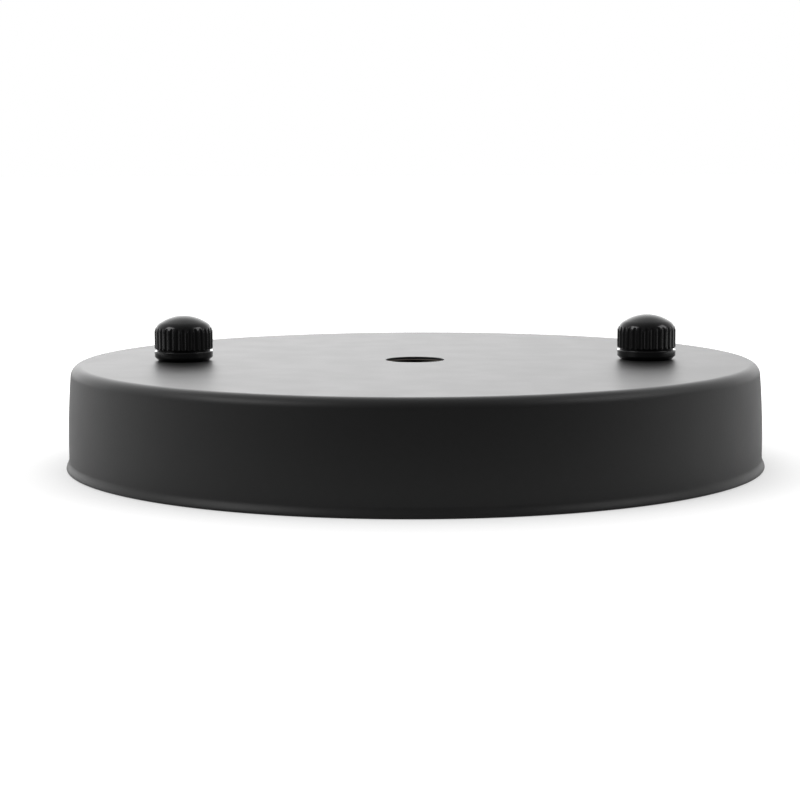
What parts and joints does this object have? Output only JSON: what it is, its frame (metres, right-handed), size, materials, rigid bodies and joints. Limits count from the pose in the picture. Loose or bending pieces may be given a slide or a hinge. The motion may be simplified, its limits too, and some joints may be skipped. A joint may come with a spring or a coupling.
{
  "type": "light fixture ceiling canopy",
  "caption": "Round ceiling canopy for a pendant light: drawn metal cup with flared rim and cable hole, held to a folded crossbar by machine screws and domed cap nuts.",
  "frame": {"origin": "centre of the rim, on the ceiling plane z = 0", "axes": "+Z away from the ceiling into the room, through the cable hole; +X along the line of the two cap nuts, towards the right one; +Y towards the crossbar's earth lug"},
  "size_m": [0.116, 0.116, 0.0247],
  "materials": {
    "satin_black_paint": "satin powder coat",
    "gloss_black_paint": "gloss",
    "zinc_plate": "zinc plated, slightly dull",
    "earth_green": "green dyed plating"
  },
  "bodies": {
    "canopy": {"canopy": "satin_black_paint"},
    "bracket": {"crossbar": "zinc_plate", "left_screw": "zinc_plate", "right_screw": "zinc_plate", "left_lock_nut": "zinc_plate", "right_lock_nut": "zinc_plate", "earth_screw": "earth_green", "earth_washer": "zinc_plate"},
    "left_ring": {"left_seat_ring": "gloss_black_paint"},
    "right_ring": {"right_seat_ring": "gloss_black_paint"},
    "left_cap": {"left_cap_nut": "gloss_black_paint"},
    "right_cap": {"right_cap_nut": "gloss_black_paint"}
  },
  "joints": [
    {"name": "bracket_slide", "type": "slide", "parent": "canopy", "child": "bracket", "axis": [0, 0, 1], "range_m": [0, 0.007]},
    {"name": "left_ring_travel", "type": "slide", "parent": "bracket", "child": "left_ring", "axis": [0, 0, 1], "range_m": [0, 0.00405]},
    {"name": "left_cap_turn", "type": "hinge", "parent": "left_ring", "child": "left_cap", "pos_m": [-0.0387, 0, 0.01865], "axis": [0, 0, 1], "range_deg": [0, 2083]},
    {"name": "right_ring_travel", "type": "slide", "parent": "bracket", "child": "right_ring", "axis": [0, 0, 1], "range_m": [0, 0.00405]},
    {"name": "right_cap_turn", "type": "hinge", "parent": "right_ring", "child": "right_cap", "pos_m": [0.0387, 0, 0.01865], "axis": [0, 0, 1], "range_deg": [0, 2083]}
  ],
  "couplings": [
    {"joint": "left_cap_turn", "follows": "left_ring_travel", "rad_per_m": 8975.9},
    {"joint": "right_cap_turn", "follows": "right_ring_travel", "rad_per_m": 8975.9}
  ]
}
